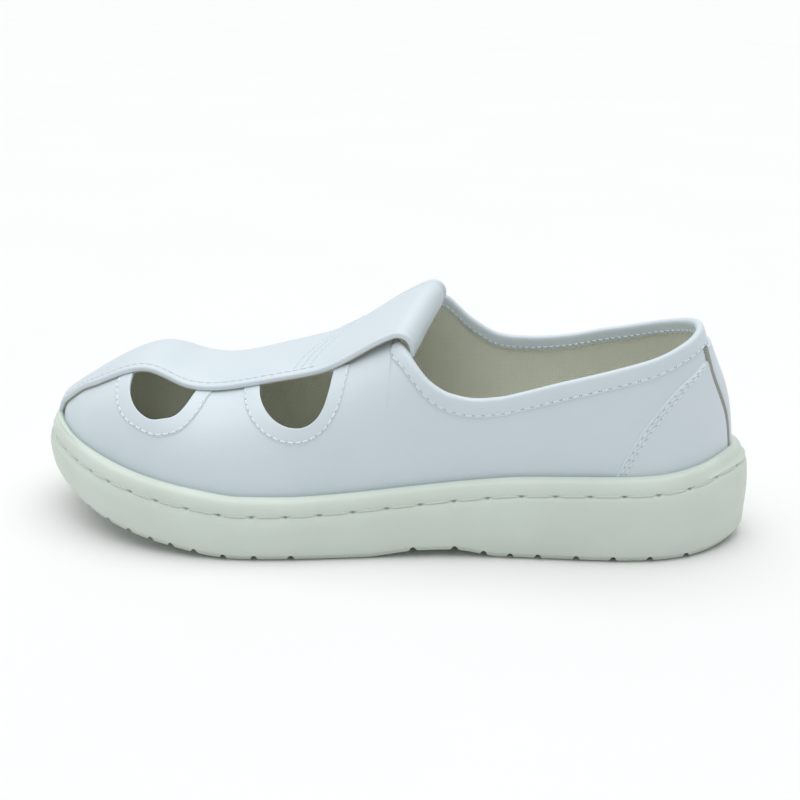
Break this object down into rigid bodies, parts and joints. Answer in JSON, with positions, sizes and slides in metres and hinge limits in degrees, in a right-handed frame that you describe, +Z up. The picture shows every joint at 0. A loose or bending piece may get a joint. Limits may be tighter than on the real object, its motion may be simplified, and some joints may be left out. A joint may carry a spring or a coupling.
{
  "type": "cleanroom shoe",
  "caption": "White slip-on cleanroom shoe for the left foot, with cut-outs on both sides of an instep strap and a moulded cup sole with a grooved tread.",
  "frame": {"origin": "centre of the outline's box on the floor under the sole", "axes": "+X from heel to toe, +Y to the wearer's left, which is the outer side, +Z up"},
  "size_m": [0.2566, 0.0942, 0.0847],
  "materials": {
    "leatherette_white": "semi-gloss coated leatherette",
    "sole_cream": "satin moulded polyurethane",
    "canvas_beige": "matt woven canvas"
  },
  "bodies": {
    "root": {"outsole": "sole_cream", "insole": "canvas_beige", "upper": "leatherette_white", "instep_strap": "leatherette_white", "facing_front_lateral": "leatherette_white", "facing_front_medial": "leatherette_white", "facing_rear_lateral": "leatherette_white", "facing_rear_medial": "leatherette_white", "collar_binding": "leatherette_white", "heel_counter": "leatherette_white", "backstay": "leatherette_white"}
  },
  "joints": []
}
